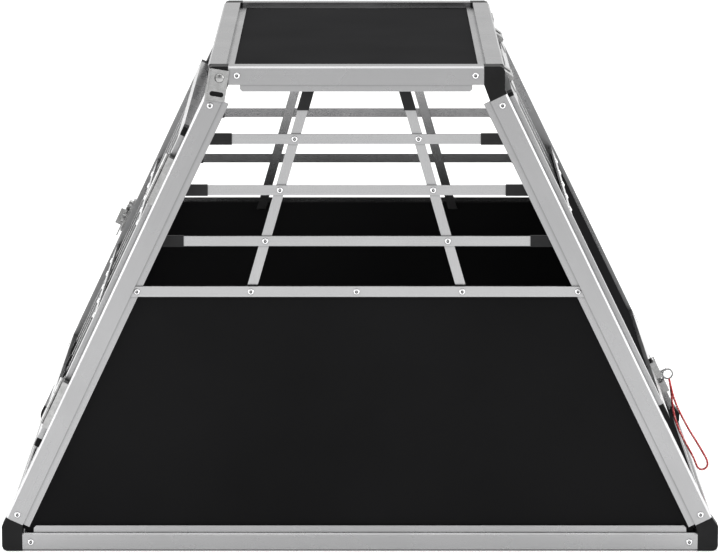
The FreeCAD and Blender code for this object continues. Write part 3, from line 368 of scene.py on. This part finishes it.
def islands(piece):
    """The separate lumps of a piece: each one's middle and the outward way of its flat ends."""
    mesh, place = piece.data, piece.matrix_world
    owner = list(range(len(mesh.vertices)))

    def root(index):
        while owner[index] != index:
            owner[index] = owner[owner[index]]
            index = owner[index]
        return index

    first_at = {}
    for vertex in mesh.vertices:
        spot = tuple(round(value, 6) for value in vertex.co)
        owner[vertex.index] = first_at.setdefault(spot, vertex.index)
    for edge in mesh.edges:
        owner[root(edge.vertices[0])] = root(edge.vertices[1])
    lumps = {}
    for vertex in mesh.vertices:
        lumps.setdefault(root(vertex.index), []).append(place @ vertex.co)
    areas = {}
    for face in mesh.polygons:
        way = (place.to_3x3() @ face.normal).normalized()
        key = tuple(round(abs(value), 2) for value in way)
        lump = areas.setdefault(root(face.vertices[0]), {})
        area, kept = lump.get(key, (0.0, way))
        lump[key] = (area + face.area, kept)
    found = []
    for key, places in lumps.items():
        middle = sum(places, Vector()) / len(places)
        way = max(areas[key].values(), key=lambda pair: pair[0])[1]
        if way.dot(middle - BOX_MIDDLE) < 0:
            way = -way
        found.append((middle, way))
    return found


def make_rivets(node_name, body, materials):
    """Dished blind rivet heads in the places of a node's plain ones, with painted shade in the
    groove round the mandrel.
    """
    vertices, faces, slots = [], [], []
    for middle, way in islands(NODES[node_name]):
        turn = way.to_track_quat("Z", "Y").to_matrix().to_4x4()
        seat = Matrix.Translation(middle - way * HEAD_HALF) @ turn
        base = len(vertices)
        for radius, height in RIVET_PROFILE:
            for step in range(RIVET_SIDES):
                angle = 2 * math.pi * step / RIVET_SIDES
                point = Vector((radius * math.cos(angle), radius * math.sin(angle), height))
                vertices.append(seat @ (point / MM_PER_M))
        for ring in range(len(RIVET_PROFILE) - 1):
            for step in range(RIVET_SIDES):
                after = (step + 1) % RIVET_SIDES
                start = base + ring * RIVET_SIDES
                faces.append((start + step, start + after, start + RIVET_SIDES + after,
                              start + RIVET_SIDES + step))
                slots.append(1 if ring in SHADED_HOLLOW_RINGS else 0)
    mesh = bpy.data.meshes.new(node_name + "_heads")
    mesh.from_pydata(vertices, [], faces)
    mesh.materials.append(materials["rivet"])
    mesh.materials.append(materials["hole"])
    for face, slot in zip(mesh.polygons, slots):
        face.material_index = slot
        face.use_smooth = True
    heads = bpy.data.objects.new("dished_" + node_name, mesh)
    bpy.context.scene.collection.objects.link(heads)
    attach(heads, body)
    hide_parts(node_name)


# ---- stage and light --------------------------------------------------------------------------

def plane(name, half, place, turn, material):
    """A flat square of the stage."""
    mesh = bpy.data.meshes.new(name)
    corners = [(-half, -half, 0), (half, -half, 0), (half, half, 0), (-half, half, 0)]
    mesh.from_pydata(corners, [], [(0, 1, 2, 3)])
    mesh.materials.append(material)
    made = bpy.data.objects.new(name, mesh)
    made.location = place
    made.rotation_euler = turn
    bpy.context.scene.collection.objects.link(made)


def softbox(name, place, aim, size, power):
    """A large soft area light aimed at a point."""
    data = bpy.data.lights.new(name, "AREA")
    data.shape = "RECTANGLE"
    data.size, data.size_y = size
    data.energy = power
    lamp = bpy.data.objects.new(name, data)
    lamp.location = place
    direction = Vector(aim) - Vector(place)
    lamp.rotation_euler = direction.to_track_quat("-Z", "Y").to_euler()
    bpy.context.scene.collection.objects.link(lamp)


SKY_DEPTH = (0.34, 0.78)
SKY_SIDES = 1.30


def make_sky():
    """A pale studio all round, brightest at the sides, dimmer in front than behind."""
    world = bpy.data.worlds.new("studio")
    world.use_nodes = True
    tree = world.node_tree

    def node(kind, **settings):
        made = tree.nodes.new(kind)
        for key, setting in settings.items():
            setattr(made, key, setting)
        return made

    split = node("ShaderNodeSeparateXYZ")
    tree.links.new(node("ShaderNodeTexCoord").outputs["Generated"], split.inputs["Vector"])
    depth = node("ShaderNodeMapRange")
    depth.inputs["From Min"].default_value = -1
    depth.inputs["To Min"].default_value, depth.inputs["To Max"].default_value = SKY_DEPTH
    tree.links.new(split.outputs["Y"], depth.inputs["Value"])
    side = node("ShaderNodeMath", operation="ABSOLUTE")
    tree.links.new(split.outputs["X"], side.inputs[0])
    strength = node("ShaderNodeMath", operation="MULTIPLY_ADD")
    strength.inputs[1].default_value = SKY_SIDES
    tree.links.new(side.outputs["Value"], strength.inputs[0])
    tree.links.new(depth.outputs["Result"], strength.inputs[2])
    tree.links.new(strength.outputs["Value"], tree.nodes["Background"].inputs["Strength"])
    tree.nodes["Background"].inputs["Color"].default_value = (1, 1, 1, 1)
    bpy.context.scene.world = world


FLOOR_SHADE = (0.90, 0.90, 0.90)
FLOOR_ROUGH = 0.7
FLOOR_GLOW = 0.30
FLOOR_HALF = 30
FLOOR_DROP = 0.0005
TOP_POWER, SIDE_POWER = 40, 20


def make_stage():
    """A faintly glowing pale floor under a pale sky, with soft boxes from the sides and above."""
    pale = plain("floor_pale", FLOOR_SHADE, FLOOR_ROUGH)
    shader = pale.node_tree.nodes["Principled BSDF"]
    shader.inputs["Emission Color"].default_value = (1, 1, 1, 1)
    shader.inputs["Emission Strength"].default_value = FLOOR_GLOW
    plane("floor", FLOOR_HALF, (0, 0, -FLOOR_DROP), (0, 0, 0), pale)
    make_sky()
    softbox("top_light", (0, 0.2, 2.6), (0, 0, 0.2), (2.4, 2.4), TOP_POWER)
    softbox("left_light", (-2.4, -0.8, 1.2), (0, 0, 0.25), (1.4, 1.8), SIDE_POWER)
    softbox("right_light", (2.4, -0.8, 1.2), (0, 0, 0.25), (1.4, 1.8), SIDE_POWER)
    bpy.context.scene.view_settings.view_transform = "Standard"


make_camera()
finishes = make_materials()
make_cord(finishes["cord"])
dress_nodes(finishes)
for rivets, carrier in RIVET_BODIES.items():
    make_rivets(rivets, carrier, finishes)
make_stage()
